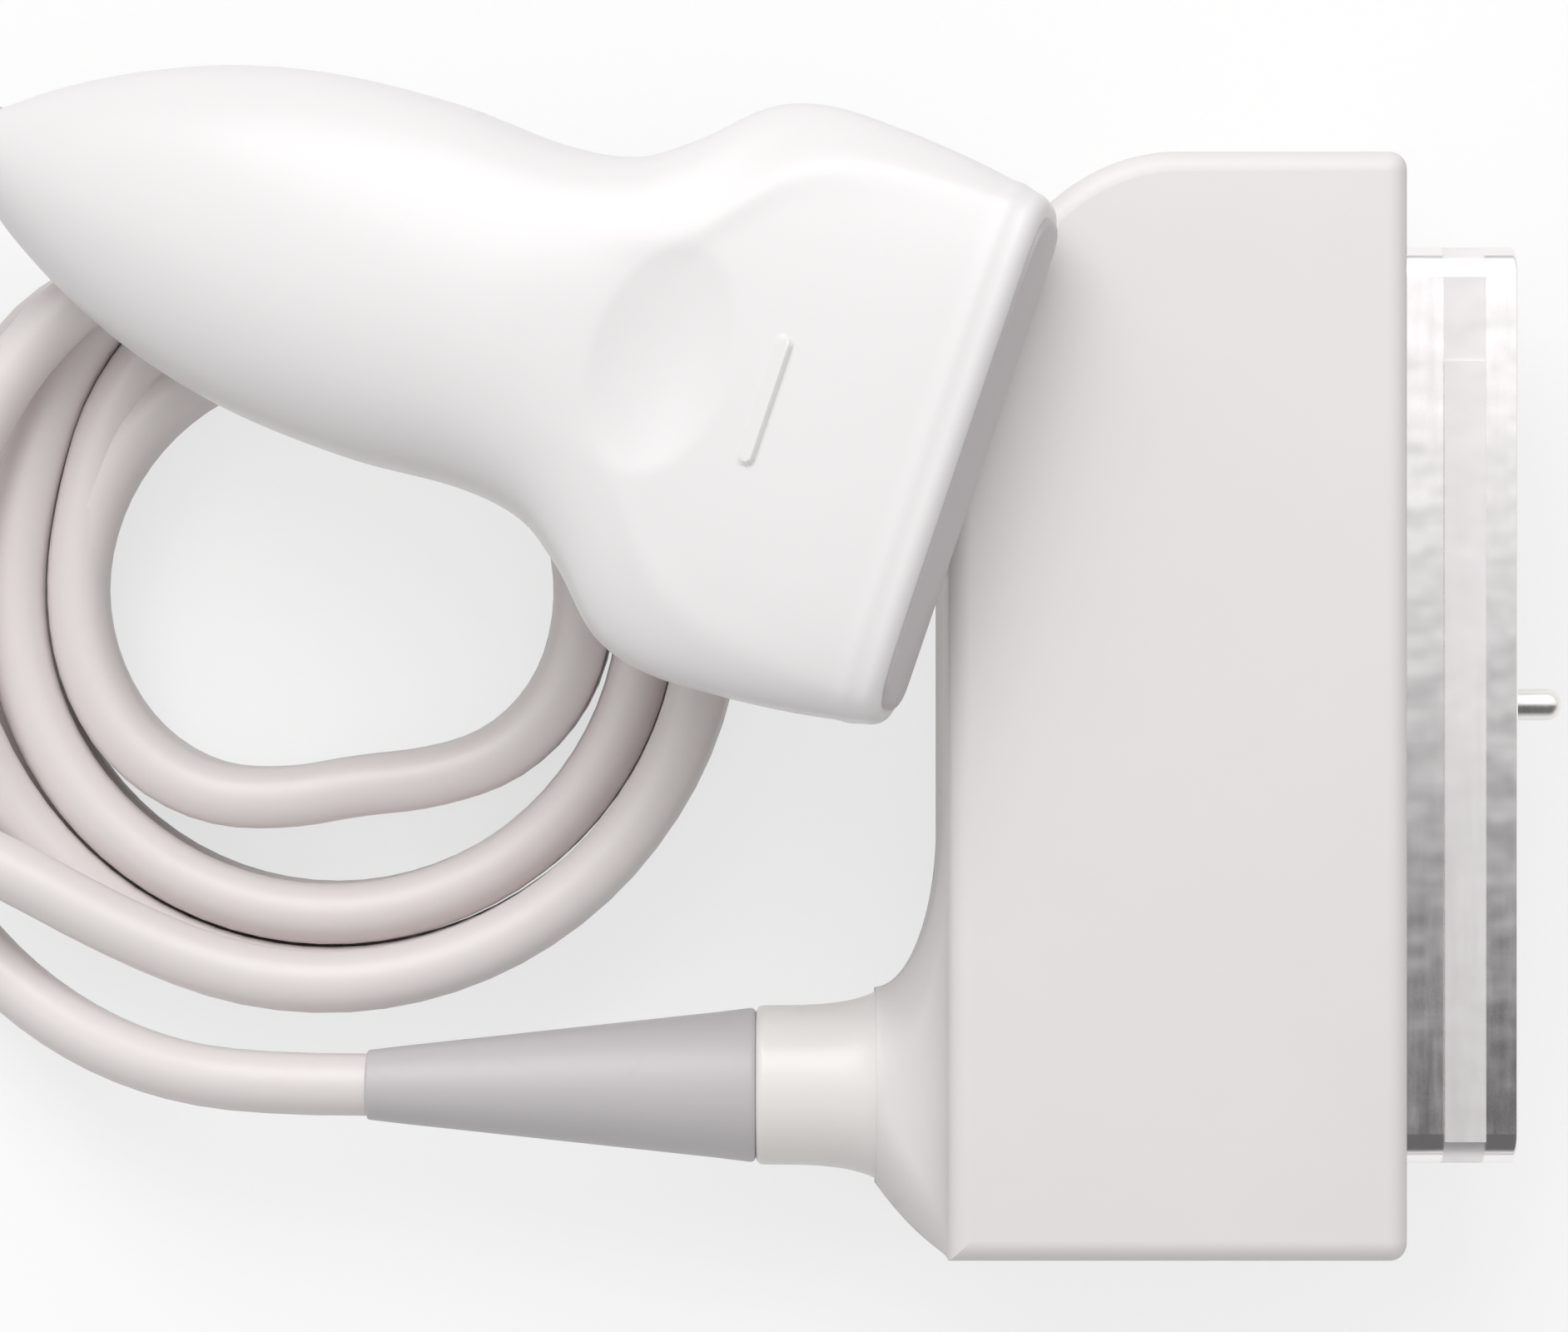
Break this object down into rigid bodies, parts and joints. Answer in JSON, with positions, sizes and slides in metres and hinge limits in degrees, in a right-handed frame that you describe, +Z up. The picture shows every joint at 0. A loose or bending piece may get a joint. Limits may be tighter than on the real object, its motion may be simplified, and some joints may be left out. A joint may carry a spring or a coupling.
{
  "type": "ultrasound transducer probe",
  "caption": "Linear ultrasound transducer handle lying on its coiled cable, with a long rectangular plug housing, bright metal shroud and central guide pin.",
  "frame": {"origin": "centre of the broad face on which the connector housing lies", "axes": "+Z up from the table, +X out of the connector's mouth, +Y along the housing's long side towards the end away from the cable"},
  "size_m": [0.221, 0.1158, 0.0524],
  "materials": {
    "housing_plastic": "satin moulded shell, fine spark texture",
    "handle_plastic": "smooth satin moulded shell",
    "collar_plastic": "smooth cream moulding",
    "relief_rubber": "smooth grey elastomer",
    "lens_silicone": "smooth grey silicone",
    "matching_epoxy": "lapped filled epoxy",
    "piezo_ceramic": "diced ceramic",
    "backing_rubber": "filled absorbing rubber",
    "carrier_plastic": "plain moulding",
    "flex_film": "amber polyimide film",
    "board_laminate": "solder mask",
    "black_plastic": "moulded packages",
    "plug_plastic": "moulded plug bodies",
    "insert_plastic": "glass filled moulding",
    "contact_plating": "gold plated contacts",
    "shell_plating": "bright tin plating",
    "pin_steel": "ground steel",
    "screw_steel": "zinc plated steel",
    "standoff_brass": "turned brass",
    "clamp_metal": "plain metal",
    "wire_bundle": "taped bundle of fine coaxial wires",
    "cable_jacket": "smooth flexible jacket"
  },
  "bodies": {
    "root": {"acoustic_lens": "lens_silicone", "array_carrier": "carrier_plastic", "array_flex_circuit": "flex_film", "backing_block": "backing_rubber", "board_chips": "black_plastic", "board_plugs": "plug_plastic", "board_standoffs": "standoff_brass", "cable_clamp": "clamp_metal", "cable_coil": "cable_jacket", "cable_connector_run": "cable_jacket", "cable_handle_run": "cable_jacket", "cable_header": "plug_plastic", "clamp_screws": "screw_steel", "connector_board": "board_laminate", "connector_shell": "shell_plating", "connector_strain_relief": "relief_rubber", "connector_wire_bundle": "wire_bundle", "contact_insert": "insert_plastic", "contacts": "contact_plating", "edge_connectors": "black_plastic", "gland_collar": "collar_plastic", "guide_pin": "pin_steel", "handle_board": "board_laminate", "handle_shell_lower": "handle_plastic", "handle_shell_upper": "handle_plastic", "handle_strain_relief": "relief_rubber", "handle_wire_bundle": "wire_bundle", "housing_back": "housing_plastic", "housing_front": "housing_plastic", "housing_screws": "screw_steel", "jacket_ferrule": "clamp_metal", "jacket_in_connector": "cable_jacket", "jacket_in_handle": "cable_jacket", "matching_layer": "matching_epoxy", "piezo_array": "piezo_ceramic", "shell_screws": "screw_steel"}
  },
  "joints": []
}
